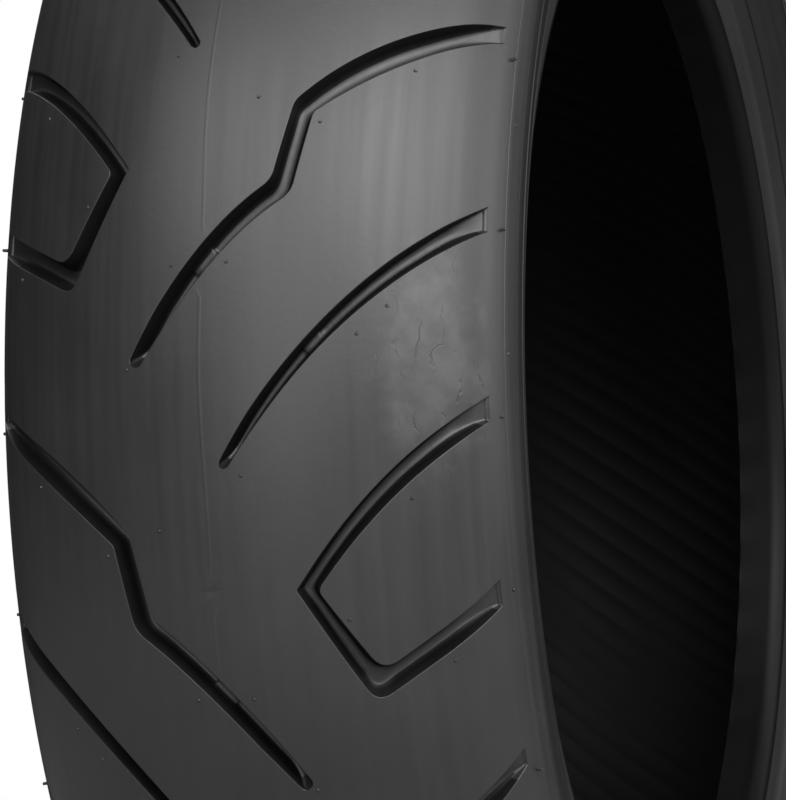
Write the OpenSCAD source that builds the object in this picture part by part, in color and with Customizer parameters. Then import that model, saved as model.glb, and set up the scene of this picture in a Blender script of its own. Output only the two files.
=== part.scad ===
// Rear cruiser motorcycle tire, bias-belted, size 180/65-16, off the rim.
// The origin is the wheel centre. +Y is the axle, towards the right side, and +Z is up.
// A section point is [distance from the centre plane, radius from the axle].

/* [Tire size] */
// Diameter over the crown of the tread
overall_d = 640; // [630:1:660]
// Section width at the widest place of the sidewalls
section_w = 180; // [176:1:184]
// Diameter of the rim's bead seats, a 16 inch rim
rim_d = 406.4; // [404:0.1:409]

/* [Outer profile] */
// Radius of the crown across the tread
crown_r = 120; // [116:1:126]
// Radius of the shoulders
shoulder_r = 48; // [45:1:50]
// Radius of the lower sidewall
lower_side_r = 75; // [70:1:80]
// Angle at which the sidewall meets the rim flange recess
flange_a = 122; // [120:1:124]
// Radius of the hollow in which the rim flange sits
flange_r = 12; // [10:1:14]
// Radius of the bead heel
heel_r = 6.5; // [5:0.5:7]
// Width of the cylindrical bead sole
sole_w = 12; // [10:0.5:13]
// Radius of the bead toe
toe_r = 1.8; // [1:0.1:2]

/* [Tread] */
// Number of times the tread pattern repeats
pitches = 7; // [7:1:8]
// Depth of the grooves
groove_depth = 7.5; // [5:0.5:7.5]
// Outer surface angle at which the grooves start to get shallower
groove_fade_a = 44; // [40:1:48]
// Thickness of the tread cap at the crown
cap_t = 10; // [9.5:0.5:11]
// Thickness of the tread base
base_t = 2; // [1.5:0.5:2.5]
// Outer surface angle at which the tread cap ends
cap_edge_a = 71; // [69:1:73]
// Outer surface angle at which the tread wing ends
wing_edge_a = 78; // [76:1:80]

/* [Casing] */
// Thickness of one belt
belt_t = 1; // [0.8:0.1:1.2]
// Thickness of one casing ply
ply_t = 0.9; // [0.8:0.1:1]
// Thickness of the inner liner
liner_t = 1.5; // [1:0.1:1.6]
// Thickness of the chafer fabric
chafer_t = 0.6; // [0.5:0.1:0.7]
// Half width of the casing line at its widest place
casing_half_w = 85.5; // [85:0.1:86]
// Radius of the casing line over the shoulder
casing_shoulder_r = 38; // [37:0.5:39]
// Radius of the casing line above the bead
casing_lower_r = 16; // [15:0.5:17]

/* [Bead] */
// Distance of the wire bundle from the centre plane
bundle_w = 65; // [64.5:0.1:65.5]
// Height of the bundle centre above the bead seat
bundle_h = 9.8; // [9.5:0.1:10]
// Radius of the wrapped bundle
bundle_r = 5.6; // [5.4:0.1:5.8]
// Diameter of one bead wire
wire_d = 1.3; // [1.1:0.1:1.4]
// Wires in each row, and rows
wire_rows = 4; // [3:1:4]

/* [Hidden] */
$fn = 96;

crown_top = overall_d / 2;
seat_r = rim_d / 2;
half_w = section_w / 2;
crown_c = [0, crown_top - crown_r];
wire_gap = 0.1;
wire_pitch = wire_d + wire_gap;
side_turn_a = 100;
// Room above the tread for the groove cutters, their tilt, and where they start and how far they reach
groove_clear = 6;
groove_tilt = 38;
groove_base = 225;
groove_reach = 110;
// Part of the groove depth that is lost at the edge of the tread cap
groove_rise = 0.8;

// A point on a circle, where the angle runs from the radial direction towards the side of the tire
function on_circle(c, r, a) = [c.x + r * sin(a), c.y + r * cos(a)];
function arc(c, r, a0, a1, n) = [for (i = [0:n]) on_circle(c, r, a0 + (a1 - a0) * i / n)];
function tail(list) = [for (i = [1:len(list) - 1]) list[i]];
function slice(list, i, j) = [for (k = [i:j]) list[k]];
function backwards(list) = [for (i = [len(list) - 1:-1:0]) list[i]];
function mirrored(list) = [for (p = list) [-p.x, p.y]];
function whole(half) = concat(backwards(mirrored(tail(half))), half);

// Unit normal of a path at point i, on the side of the cavity, stretched to keep offsets parallel
function step_normal(path, i) =
    let(d = path[i + 1] - path[i])
    [d.y, -d.x] / norm(d);
function joint_normal(path, i) =
    i == 0 ? [0, -1] :
    i == len(path) - 1 ? step_normal(path, i - 1) :
    let(a = step_normal(path, i - 1), b = step_normal(path, i))
    (a + b) / (1 + a * b);
function offset_path(path, d) = [for (i = [0:len(path) - 1]) path[i] + d * joint_normal(path, i)];

// Outer surface, from the crown to the bead toe
shoulder_x = half_w - shoulder_r;
crown_a = asin(shoulder_x / (crown_r - shoulder_r));
shoulder_c = on_circle(crown_c, crown_r - shoulder_r, crown_a);
side_c = on_circle(shoulder_c, shoulder_r - lower_side_r, side_turn_a);
flange_c = on_circle(side_c, lower_side_r + flange_r, flange_a);
flange_x = flange_c.x - flange_r;
heel_c = [flange_x - heel_r, seat_r + heel_r];
toe_c = [heel_c.x - sole_w, seat_r + toe_r];
crown_steps = 12;
edge_steps = 8;
wing_steps = 2;
side_steps = 5;
lower_steps = 6;
flange_steps = 5;
heel_steps = 8;
toe_steps = 3;
tread_line = concat(
    arc(crown_c, crown_r, 0, crown_a, crown_steps),
    tail(arc(shoulder_c, shoulder_r, crown_a, cap_edge_a, edge_steps)));
wing_line = arc(shoulder_c, shoulder_r, cap_edge_a, wing_edge_a, wing_steps);
side_line = concat(
    arc(shoulder_c, shoulder_r, wing_edge_a, side_turn_a, side_steps),
    tail(arc(side_c, lower_side_r, side_turn_a, flange_a, lower_steps)));
bead_line = concat(
    arc(flange_c, -flange_r, flange_a, 90, flange_steps),
    arc(heel_c, heel_r, 90, 180, heel_steps),
    arc(toe_c, toe_r, 180, 270, toe_steps));

// Casing line: the outer face of the plies, round the bead and back up to the apex tip
casing_top = crown_top - cap_t - base_t - 2 * belt_t;
casing_crown_r = casing_top - crown_c.y;
casing_x = casing_half_w - casing_shoulder_r;
casing_a = asin(casing_x / (casing_crown_r - casing_shoulder_r));
casing_c = on_circle(crown_c, casing_crown_r - casing_shoulder_r, casing_a);
lower_c = on_circle(casing_c, casing_shoulder_r - casing_lower_r, side_turn_a);
bundle_c = [bundle_w, seat_r + bundle_h];
to_bundle = bundle_c - lower_c;
fall_a = 90 + atan2(-to_bundle.x, -to_bundle.y) + asin((casing_lower_r + bundle_r) / norm(to_bundle));
apex_tip = on_circle(lower_c, casing_lower_r, fall_a);
tip_to_bundle = bundle_c - apex_tip;
rise_a = atan2(-tip_to_bundle.x, -tip_to_bundle.y) - asin(bundle_r / norm(tip_to_bundle)) - 90;
rise_foot = on_circle(bundle_c, -bundle_r, rise_a);
// How far up the apex the chafer and the two turned-up plies end, as parts of its height
turnups = [0.35, 0.6, 0.82, 1];
casing_steps = 12;
fall_steps = 5;
wrap_steps = 20;
apex_steps = 10;
casing_line = concat(
    arc(crown_c, casing_crown_r, 0, casing_a, casing_steps),
    tail(arc(casing_c, casing_shoulder_r, casing_a, side_turn_a, casing_steps)),
    tail(arc(lower_c, casing_lower_r, side_turn_a, fall_a, fall_steps)),
    arc(bundle_c, -bundle_r, fall_a, rise_a, wrap_steps),
    [for (f = turnups) rise_foot + f * (apex_tip - rise_foot)]);

// Places on the casing line where a layer starts or ends
belt_end = casing_steps + 1;
edge_end = casing_steps + 6;
tip_at = 2 * casing_steps + fall_steps;
toe_at = tip_at + 6;
foot_at = tip_at + 1 + wrap_steps;
chafer_at = foot_at + 1;
ply_inner_at = foot_at + 2;
ply_outer_at = foot_at + 3;

ply_outer_face = offset_path(casing_line, ply_t);
ply_inner_face = offset_path(casing_line, 2 * ply_t);
chafer_face = offset_path(casing_line, 2 * ply_t + chafer_t);
liner_face = offset_path(casing_line, 2 * ply_t + liner_t);
belt_inner_face = offset_path(casing_line, -belt_t);
belt_outer_face = offset_path(casing_line, -2 * belt_t);
base_face = offset_path(casing_line, -2 * belt_t - base_t);

// Tread grooves on the unrolled tread: [distance round the section from the crown, distance along the
// crown, half width]. Each one is a run of curves, from the shoulder to its tip.
leg_steps = 7;
function bend(a, b, c, n) =
    [for (i = [0:n]) let(t = i / n) (1 - t) * (1 - t) * a + 2 * t * (1 - t) * b + t * t * c];
bolt_groove = concat(
    bend([101, 115.5, 3.6], [56, 92, 6], [32, 68.5, 3.8], leg_steps),
    bend([26, 40, 4], [3, 24, 3.3], [-20, -10, 2.8], leg_steps),
    [[-24, -18, 1]]);
plain_groove = concat(
    bend([99, 36.5, 4.4], [44, 5.5, 3.1], [10, -44, 2.6], leg_steps),
    [[5.5, -53, 1]]);
hook_groove = concat(
    bend([99, -35.5, 4.5], [62, -53, 4], [31.5, -94, 3.1], leg_steps),
    [[52, -129.5, 4.3], [99, -105, 4.8]]);
grooves = [bolt_groove, plain_groove, hook_groove];

crown_arc = crown_r * crown_a * PI / 180;
function chart_angle(s) =
    abs(s) < crown_arc ? s / crown_r * 180 / PI :
    sign(s) * (crown_a + (abs(s) - crown_arc) / shoulder_r * 180 / PI);
function chart_point(s) =
    abs(s) < crown_arc ? on_circle(crown_c, crown_r, chart_angle(s)) :
    on_circle([sign(s) * shoulder_c.x, shoulder_c.y], shoulder_r, chart_angle(s));
function wheel_angle(v) = v / crown_top * 180 / PI;
function flat_normal(path, i) =
    let(a = path[max(i - 1, 0)], b = path[i], c = path[min(i + 1, len(path) - 1)],
        p = (i == 0 ? c - b : b - a), q = (i == len(path) - 1 ? b - a : c - b),
        m = [p.y, -p.x] / norm([p.x, p.y]), n = [q.y, -q.x] / norm([q.x, q.y]))
    (m + n) / (1 + m * n);
function groove_edge(path, side) =
    [for (i = [0:len(path) - 1]) [path[i].x, path[i].y] + side * path[i].z * flat_normal(path, i)];
function groove_outline(path) = concat(groove_edge(path, 1), backwards(groove_edge(path, -1)));

// The groove floor rises towards the edge of the tread cap
function floor_depth(i) =
    let(t = max(0, (i - crown_steps) * (cap_edge_a - crown_a) / edge_steps + crown_a - groove_fade_a) /
        (cap_edge_a - groove_fade_a))
    groove_depth * (1 - groove_rise * t * t);
floor_line =
    [for (i = [0:len(tread_line) - 1]) tread_line[i] + floor_depth(i) * joint_normal(tread_line, i)];

// Turns a section about the axle
module ring(section) {
    rotate([-90, 0, 0])
        rotate_extrude()
            polygon([for (p = section) [p.y, p.x]]);
}

// A section on the right side, and its mirror image on the left
module side_ring(section, side) {
    ring(side > 0 ? section : mirrored(section));
}

// A straight cutter with the outline of a groove, seen along a line tilted towards the shoulder
module groove_cutter(path) {
    middle = wheel_angle(path[floor(len(path) / 2)].y);
    outline = [for (p = groove_outline(path))
        let(q = chart_point(p.x), a = wheel_angle(p.y) - middle)
        [q.x * cos(groove_tilt) - q.y * cos(a) * sin(groove_tilt), q.y * sin(a)]];
    rotate([0, -middle, 0])
        multmatrix([
            [-sin(groove_tilt), 0, cos(groove_tilt), 0],
            [cos(groove_tilt), 0, sin(groove_tilt), 0],
            [0, 1, 0, 0]])
            translate([0, 0, groove_base])
                linear_extrude(groove_reach)
                    polygon(outline);
}

// The grooves of one side: the left side is mirrored and turned by half a pitch
module side_cutters(side) {
    for (k = [0:pitches - 1])
        for (g = grooves)
            rotate([0, -(k + (side > 0 ? 0 : 0.5)) * 360 / pitches, 0])
                mirror([0, side > 0 ? 0 : 1, 0])
                    groove_cutter(g);
}

module tread_cap() {
    edge = slice(base_face, 0, edge_end - 1);
    section = concat(whole(tread_line), backwards(whole(edge)));
    band = concat(whole(offset_path(tread_line, -groove_clear)), backwards(whole(floor_line)));
    color("#2b2b2d")
        difference() {
            ring(section);
            intersection() {
                ring(band);
                union() {
                    side_cutters(1);
                    side_cutters(-1);
                }
            }
        }
}

module tread_base() {
    lower = concat(slice(belt_outer_face, 0, edge_end - 1), [casing_line[edge_end]]);
    color("#37373a")
        ring(concat(whole(lower), backwards(whole(slice(base_face, 0, edge_end - 1)))));
}

module belt_outer() {
    color("#a8742f")
        ring(concat(whole(slice(belt_outer_face, 0, belt_end - 1)),
            backwards(whole(slice(belt_inner_face, 0, belt_end - 1)))));
}

module belt_inner() {
    color("#b98a44")
        ring(concat(whole(slice(belt_inner_face, 0, belt_end)),
            backwards(whole(slice(casing_line, 0, belt_end)))));
}

module ply_outer() {
    color("#c9b48a")
        ring(concat(whole(slice(casing_line, 0, ply_outer_at)),
            backwards(whole(slice(ply_outer_face, 0, ply_outer_at)))));
}

module ply_inner() {
    color("#bfa878")
        ring(concat(whole(slice(ply_outer_face, 0, ply_inner_at)),
            backwards(whole(slice(ply_inner_face, 0, ply_inner_at)))));
}

module inner_liner() {
    color("#1d1d1f")
        ring(concat(whole(slice(ply_inner_face, 0, toe_at)),
            backwards(whole(slice(liner_face, 0, toe_at)))));
}

module tread_wing(side) {
    color("#303033")
        side_ring(concat(wing_line, [casing_line[edge_end], base_face[edge_end - 1]]), side);
}

module belt_edge_strip(side) {
    color("#5a4b3a")
        side_ring(concat(slice(belt_outer_face, belt_end - 1, edge_end - 1), [casing_line[edge_end]],
            backwards(slice(casing_line, belt_end, edge_end - 1)),
            [belt_inner_face[belt_end], belt_inner_face[belt_end - 1]]), side);
}

module sidewall(side) {
    color("#262628")
        side_ring(concat(side_line, [ply_inner_face[chafer_at], ply_inner_face[ply_inner_at]],
            slice(ply_outer_face, ply_inner_at, ply_outer_at),
            [casing_line[ply_outer_at]],
            backwards(slice(casing_line, edge_end, tip_at))), side);
}

module apex(side) {
    color("#4a4a4e")
        side_ring(concat(slice(casing_line, tip_at, tip_at + 1),
            tail(arc(bundle_c, -bundle_r, fall_a, rise_a + 360, apex_steps)),
            slice(casing_line, foot_at + 1, ply_outer_at)), side);
}

module wire_places(side) {
    places = [for (i = [0:wire_rows - 1]) (i - (wire_rows - 1) / 2) * wire_pitch];
    for (out = places)
        for (across = places)
            rotate([-90, 0, 0])
                rotate_extrude()
                    translate([bundle_c.y + out, side * (bundle_c.x + across)])
                        circle(d = wire_d);
}

module bead_wires(side) {
    color("#b87333")
        wire_places(side);
}

module bead_wrap(side) {
    apex_face = arc(bundle_c, -bundle_r, rise_a + 360, fall_a, apex_steps);
    color("#3d3d40")
        difference() {
            side_ring(concat(slice(casing_line, tip_at + 1, foot_at),
                slice(apex_face, 1, apex_steps - 1)), side);
            wire_places(side);
        }
}

module chafer(side) {
    color("#6f6a5c")
        side_ring(concat(slice(ply_inner_face, toe_at, chafer_at),
            backwards(slice(chafer_face, toe_at, chafer_at))), side);
}

module rim_cushion(side) {
    color("#202022")
        side_ring(concat(bead_line, [liner_face[toe_at]], slice(chafer_face, toe_at, chafer_at),
            [ply_inner_face[chafer_at]]), side);
}

tread_cap();
tread_base();
belt_outer();
belt_inner();
ply_outer();
ply_inner();
inner_liner();
tread_wing(-1);  // tread_wing_left
tread_wing(1);  // tread_wing_right
belt_edge_strip(-1);  // belt_edge_strip_left
belt_edge_strip(1);  // belt_edge_strip_right
sidewall(-1);  // sidewall_left
sidewall(1);  // sidewall_right
apex(-1);  // apex_left
apex(1);  // apex_right
bead_wires(-1);  // bead_wires_left
bead_wires(1);  // bead_wires_right
bead_wrap(-1);  // bead_wrap_left
bead_wrap(1);  // bead_wrap_right
chafer(-1);  // chafer_left
chafer(1);  // chafer_right
rim_cushion(-1);  // rim_cushion_left
rim_cushion(1);  // rim_cushion_right
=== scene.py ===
"""Rear cruiser motorcycle tire, 180/65-16, off the rim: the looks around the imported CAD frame.

Lengths are millimetres until a mesh is made. Y is the axle, towards the right side of the tire. A section
point is (distance from the centre plane, radius from the axle). A tread point is given on the unrolled
tread: s across it from the crown, v along the crown, and d below the surface.
"""

import math

import bpy
import numpy as np
from mathutils import Matrix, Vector
from mathutils.geometry import delaunay_2d_cdt
from mathutils.kdtree import KDTree


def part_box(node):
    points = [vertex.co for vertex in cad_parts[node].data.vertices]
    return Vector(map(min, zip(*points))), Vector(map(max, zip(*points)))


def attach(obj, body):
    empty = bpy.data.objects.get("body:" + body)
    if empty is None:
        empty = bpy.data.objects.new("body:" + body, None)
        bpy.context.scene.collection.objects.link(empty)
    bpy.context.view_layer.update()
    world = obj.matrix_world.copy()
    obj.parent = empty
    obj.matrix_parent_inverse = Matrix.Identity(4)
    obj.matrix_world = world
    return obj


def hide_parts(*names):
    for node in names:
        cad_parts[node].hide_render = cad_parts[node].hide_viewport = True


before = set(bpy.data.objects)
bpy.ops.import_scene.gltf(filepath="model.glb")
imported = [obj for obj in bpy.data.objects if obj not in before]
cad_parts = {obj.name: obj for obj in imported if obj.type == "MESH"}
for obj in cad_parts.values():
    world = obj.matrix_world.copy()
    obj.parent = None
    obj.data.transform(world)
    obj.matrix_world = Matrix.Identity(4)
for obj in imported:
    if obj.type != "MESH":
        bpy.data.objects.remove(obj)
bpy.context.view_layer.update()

MM = 0.001
CROWN_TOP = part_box("tread_cap")[1].z / MM
HALF_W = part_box("sidewall_right")[1].y / MM
SEAT_R = 203.2

# ---------------------------------------------------------------- section of the tire, as in the CAD part
CROWN_R, SHOULDER_R, SIDE_R, FLANGE_R, HEEL_R, SOLE_W, TOE_R = 120, 48, 75, 12, 6.5, 12, 1.8
CAP_EDGE, WING_EDGE, SIDE_TURN, FLANGE_A = np.radians([71, 78, 100, 122])
CAP_T, BASE_T, BELT_T, PLY_T, LINER_T, CHAFER_T = 10, 2, 1, 0.9, 1.5, 0.6
CASING_W, CASING_SHOULDER_R, CASING_LOWER_R = 85.5, 38, 16
BUNDLE_W, BUNDLE_H, BUNDLE_R = 65, 9.8, 5.6


def on_circle(centre, radius, angle):
    """The angle runs from the radial direction towards the side of the tire."""
    return np.array([centre[0] + radius * math.sin(angle), centre[1] + radius * math.cos(angle)])


def arc(centre, radius, start, end, step=2.0):
    """Points along an arc, about step mm apart."""
    n = max(1, math.ceil(abs(radius * (end - start)) / step))
    return np.array([on_circle(centre, radius, a) for a in np.linspace(start, end, n + 1)])


def mirrored(points):
    return np.asarray(points) * (-1, 1)


crown_c = np.array([0, CROWN_TOP - CROWN_R])
crown_a = math.asin((HALF_W - SHOULDER_R) / (CROWN_R - SHOULDER_R))
shoulder_c = on_circle(crown_c, CROWN_R - SHOULDER_R, crown_a)
side_c = on_circle(shoulder_c, SHOULDER_R - SIDE_R, SIDE_TURN)
flange_c = on_circle(side_c, SIDE_R + FLANGE_R, FLANGE_A)
heel_c = np.array([flange_c[0] - FLANGE_R - HEEL_R, SEAT_R + HEEL_R])
toe_c = np.array([heel_c[0] - SOLE_W, SEAT_R + TOE_R])
crown_arc = CROWN_R * crown_a
tread_edge = crown_arc + SHOULDER_R * (CAP_EDGE - crown_a)

casing_crown_r = CROWN_R - CAP_T - BASE_T - 2 * BELT_T
casing_a = math.asin((CASING_W - CASING_SHOULDER_R) / (casing_crown_r - CASING_SHOULDER_R))
casing_c = on_circle(crown_c, casing_crown_r - CASING_SHOULDER_R, casing_a)
lower_c = on_circle(casing_c, CASING_SHOULDER_R - CASING_LOWER_R, SIDE_TURN)
bundle_c = np.array([BUNDLE_W, SEAT_R + BUNDLE_H])
to_bundle = bundle_c - lower_c
fall_a = math.pi / 2 + math.atan2(-to_bundle[0], -to_bundle[1])
fall_a += math.asin((CASING_LOWER_R + BUNDLE_R) / np.linalg.norm(to_bundle))

apex_tip = on_circle(lower_c, CASING_LOWER_R, fall_a)
tip_to_bundle = bundle_c - apex_tip
rise_a = math.atan2(-tip_to_bundle[0], -tip_to_bundle[1]) - math.pi / 2
rise_a -= math.asin(BUNDLE_R / np.linalg.norm(tip_to_bundle))
rise_foot = on_circle(bundle_c, -BUNDLE_R, rise_a)
rise = apex_tip - rise_foot
rise_out = np.array([rise[1], -rise[0]]) / np.linalg.norm(rise)
LINER_END = fall_a + (rise_a - fall_a) / 4
EDGE_STRIP_END = (casing_a + SIDE_TURN) / 2
BASE_END = math.radians(67.5)
BELTS_END = (7 * casing_a + 5 * SIDE_TURN) / 12
CASING_R = crown_c[1] + casing_crown_r
EDGE_R = on_circle(shoulder_c, SHOULDER_R, math.radians(88))[1]


def casing_face(inward, end=None):
    """Right half of a line parallel to the casing line, from the crown down to its apex tip, and on round
    the bead bundle if it ends there."""
    line = [
        arc(crown_c, casing_crown_r - inward, 0, casing_a, 4),
        arc(casing_c, CASING_SHOULDER_R - inward, casing_a, SIDE_TURN, 3)[1:],
        arc(lower_c, CASING_LOWER_R - inward, SIDE_TURN, fall_a, 3)[1:],
    ]
    if end is not None:
        line.append(arc(bundle_c, -BUNDLE_R - inward, fall_a, end, 2))
    return np.concatenate(line)


def turnup(part, out):
    """A point on the turned-up plies, at a part of the apex's height and out from its face."""
    return rise_foot + part * rise + out * rise_out


# Raised and sunken lines of the side, as (section angle in degrees, height)
RELIEF = [
    (71, 0), (75.55, 0), (75.8, 0.12), (76.05, 0), (78, 0),
    (87.8, 0), (88, -0.15), (88.15, -0.9), (88.9, -0.9), (89.3, -0.35), (92, 0),
    (96, 0), (96.25, 0.25), (96.75, 0.25), (97, 0),
    (110.3, 0), (110.5, 0.25), (110.8, 0.25), (111, 0),
    (114.6, 0), (114.9, 0.5), (115.9, 0.5), (116.3, -0.15), (121, -0.15), (122, 0),
]


def side_line(start, end):
    """The outer surface between two section angles, with its relief."""
    relief = np.array(RELIEF, float)
    marks = np.radians(relief[:, 0])
    angles = np.unique(np.round(np.concatenate([np.linspace(start, end, 12), marks]), 9))
    angles = angles[(angles > start - 1e-9) & (angles < end + 1e-9)]
    heights = np.interp(angles, marks, relief[:, 1])
    line = []
    for angle, height in zip(angles, heights):
        centre, radius = (shoulder_c, SHOULDER_R) if angle < SIDE_TURN else (side_c, SIDE_R)
        line.append(on_circle(centre, radius + height, angle))
    return np.array(line)


# ---------------------------------------------------------------- mesh helpers
def new_object(name, points, faces, across=None, normals=None):
    """A mesh from millimetres, with the distance across the section kept as an attribute for the shaders."""
    mesh = bpy.data.meshes.new(name)
    mesh.from_pydata((np.asarray(points) * MM).tolist(), [], faces)
    if across is not None:
        values = np.asarray(across, np.float32)
        mesh.attributes.new("across", "FLOAT", "POINT").data.foreach_set("value", values)
    mesh.validate()
    mesh.shade_smooth()
    if normals is not None:
        mesh.normals_split_custom_set_from_vertices(np.asarray(normals).tolist())
    else:
        mesh.set_sharp_from_angle(angle=math.radians(38))
    obj = bpy.data.objects.new(name, mesh)
    bpy.context.scene.collection.objects.link(obj)
    return obj


def lathe(name, section, angles, twist=None, lift=None):
    """A closed ring: the section turned about the axle, through the angles. twist shifts each point of the
    section round the axle, and lift is how far each vertex stands out from the section."""
    section = np.asarray(section, float)
    count, around = len(section), len(angles)
    twist = np.zeros(count) if twist is None else twist
    lift = np.zeros((around, count)) if lift is None else lift
    ahead = np.roll(section, -1, axis=0)
    if np.sum(section[:, 0] * ahead[:, 1] - ahead[:, 0] * section[:, 1]) > 0:
        section, twist, lift = section[::-1], twist[::-1], lift[:, ::-1]
    tangent = np.roll(section, -1, axis=0) - np.roll(section, 1, axis=0)
    outward = np.stack([-tangent[:, 1], tangent[:, 0]], 1)
    outward /= np.linalg.norm(outward, axis=1)[:, None]
    place = section + lift[..., None] * outward
    turn = np.asarray(angles)[:, None] + twist
    radius = place[..., 1]
    points = np.stack([radius * np.cos(turn), place[..., 0], radius * np.sin(turn)], -1).reshape(-1, 3)
    i, j = (g.ravel() for g in np.meshgrid(np.arange(count), np.arange(around)))
    i_next, j_next = (i + 1) % count, (j + 1) % around
    faces = np.stack([j, j, j_next, j_next], 1) * count + np.stack([i, i_next, i_next, i], 1)
    steps = np.linalg.norm(np.diff(section, axis=0, prepend=section[:1]), axis=1)
    return new_object(name, points, faces.tolist(), np.tile(np.cumsum(steps), around))


# ---------------------------------------------------------------- unrolled tread
PITCHES = 7
PITCH = 2 * math.pi * CROWN_TOP / PITCHES
EDGE_STEPS = 56
STEP = PITCH / EDGE_STEPS


def section_angle(s):
    u = np.abs(s)
    return np.sign(s) * np.where(u < crown_arc, u / CROWN_R, crown_a + (u - crown_arc) / SHOULDER_R)


def tread_point(s, v, d):
    on_crown = np.abs(s) < crown_arc
    a, t = section_angle(s), v / CROWN_TOP
    radius = np.where(on_crown, CROWN_R, SHOULDER_R) - d
    w = np.where(on_crown, 0, np.sign(s) * shoulder_c[0]) + radius * np.sin(a)
    r = np.where(on_crown, crown_c[1], shoulder_c[1]) + radius * np.cos(a)
    return np.stack([r * np.cos(t), w, r * np.sin(t)], -1)


def tread_normal(s, v):
    a, t = section_angle(s), v / CROWN_TOP
    return np.stack([np.cos(a) * np.cos(t), np.sin(a), np.cos(a) * np.sin(t)], -1)


def straight(a, b):
    """A leg with no bend in it."""
    return (a, tuple((p + q) / 2 for p, q in zip(a, b)), b)


# Grooves of the right side: legs of [s, v, half width] as start, bend and end, the corner roundings between
# legs on the outer and inner edge, the wear bars as ranges of s on a leg, and whether it ends in a tip.
GROOVES = [
    {
        "legs": [
            ((101, 115.5, 3.6), (56, 92, 6), (32, 68.5, 3.8)),
            straight((32, 68.5, 3.8), (26, 40, 4)),
            ((26, 40, 4), (1.4, 23, 3.8), (-24.4, -18, 3.1)),
        ],
        "rounding": [(2.5, 1.5), (3.5, 4)],
        "bars": [(2, -3, 3.5)],
        "tip": True,
    },
    {
        "legs": [((98.5, 36.6, 4.4), (42.8, 4.4, 3), (6, -52.5, 2.4))],
        "rounding": [],
        "bars": [(0, 35, 40.5)],
        "tip": True,
    },
    {
        "legs": [
            ((99, -35.5, 4.5), (62, -53, 4), (31.5, -94, 3.1)),
            straight((31.5, -94, 3.1), (52, -129.5, 4.3)),
            straight((52, -129.5, 4.3), (99, -105, 4.8)),
        ],
        "rounding": [(0.8, 2.5), (6, 6)],
        "bars": [],
        "tip": False,
    },
]
GROOVE_DEPTH, END_DEPTH, FADE_FROM, FADE_TO = 7.5, 1.3, 45, 100
WALL_A, LIP_R, FLOOR_R, BAR_H = math.radians(82), 0.4, 3.0, 1.0
TIP_TAPER, TIP_RAMP, TIP_R, TIP_WIDTH = 20, 10, 2.0, 0.78
LEG_PARTS = 7


def bend(leg):
    a, b, c = np.array(leg, float)
    t = np.linspace(0, 1, LEG_PARTS + 1)[:, None]
    return (1 - t) ** 2 * a + 2 * t * (1 - t) * b + t * t * c


def groove_edges(path):
    """The two edges of a path of [s, v, half width], mitred at its points."""
    step = np.diff(path[:, :2], axis=0)
    side = np.stack([step[:, 1], -step[:, 0]], 1) / np.linalg.norm(step, axis=1)[:, None]
    m, n = np.vstack([side[:1], side]), np.vstack([side, side[-1:]])
    normal = (m + n) / (1 + np.sum(m * n, axis=1))[:, None]
    return path[:, :2] + path[:, 2:] * normal, path[:, :2] - path[:, 2:] * normal


def smooth_line(points, places):
    """A smooth line through points, at places counted in points."""
    step = np.diff(points, axis=0)
    length = np.linalg.norm(step, axis=1)[:, None]
    along = step / length
    inner = (along[:-1] * length[1:] + along[1:] * length[:-1]) / (length[1:] + length[:-1])
    tangent = np.vstack([1.5 * along[:1] - 0.5 * inner[:1], inner, 1.5 * along[-1:] - 0.5 * inner[-1:]])
    i = np.clip(np.floor(places).astype(int), 0, len(step) - 1)
    t = (places - i)[:, None]
    return (
        (2 * t**3 - 3 * t**2 + 1) * points[i]
        + (t**3 - 2 * t**2 + t) * tangent[i] * length[i]
        + (3 * t**2 - 2 * t**3) * points[i + 1]
        + (t**3 - t**2) * tangent[i + 1] * length[i]
    )


def run_length(line):
    return np.concatenate([[0], np.cumsum(np.linalg.norm(np.diff(line, axis=0), axis=1))])


def round_corner(edge, corner, reach):
    x = run_length(edge)
    x -= x[corner]
    near = np.abs(x) < reach
    ends = [np.array([np.interp(e, x, edge[:, 0]), np.interp(e, x, edge[:, 1])]) for e in (-reach, reach)]
    t = ((x[near] / reach + 1) / 2)[:, None]
    edge[near] = (1 - t) ** 2 * ends[0] + 2 * t * (1 - t) * edge[corner] + t * t * ends[1]


def square_end(edge, end_s):
    """Ends an edge at end_s, by sliding its first stretch along itself."""
    x = run_length(edge)
    along = (edge[3] - edge[0]) / np.linalg.norm(edge[3] - edge[0])
    slide = (end_s - edge[0, 0]) / along[0]
    part = np.clip(1 - x / 12, 0, 1)[:, None] ** 2
    edge += slide * part * along


NEAR_CORNER = np.array([0.3, 0.9, 1.7, 2.6, 3.6, 4.8])
NEAR_TIP = np.array([0.12, 0.35, 0.7, 1.2, 1.8, 2.6, 3.6])


def leg_places(length, start, end, marks):
    """Distances along a leg at which it is cut across, closer together by its ends and marks."""
    base = np.linspace(0, length, max(2, round(length / 2.1)) + 1)
    extra = [start, length - end]
    extra += [np.array([m - 0.15, m + 0.15]) for m in marks]
    places = np.unique(np.concatenate([[0, length], *extra]))
    places = places[(places >= 0) & (places <= length)]
    gap = np.abs(base[:, None] - places[None, :]).min(1)
    return np.sort(np.concatenate([places, base[gap > 0.8]]))


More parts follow.
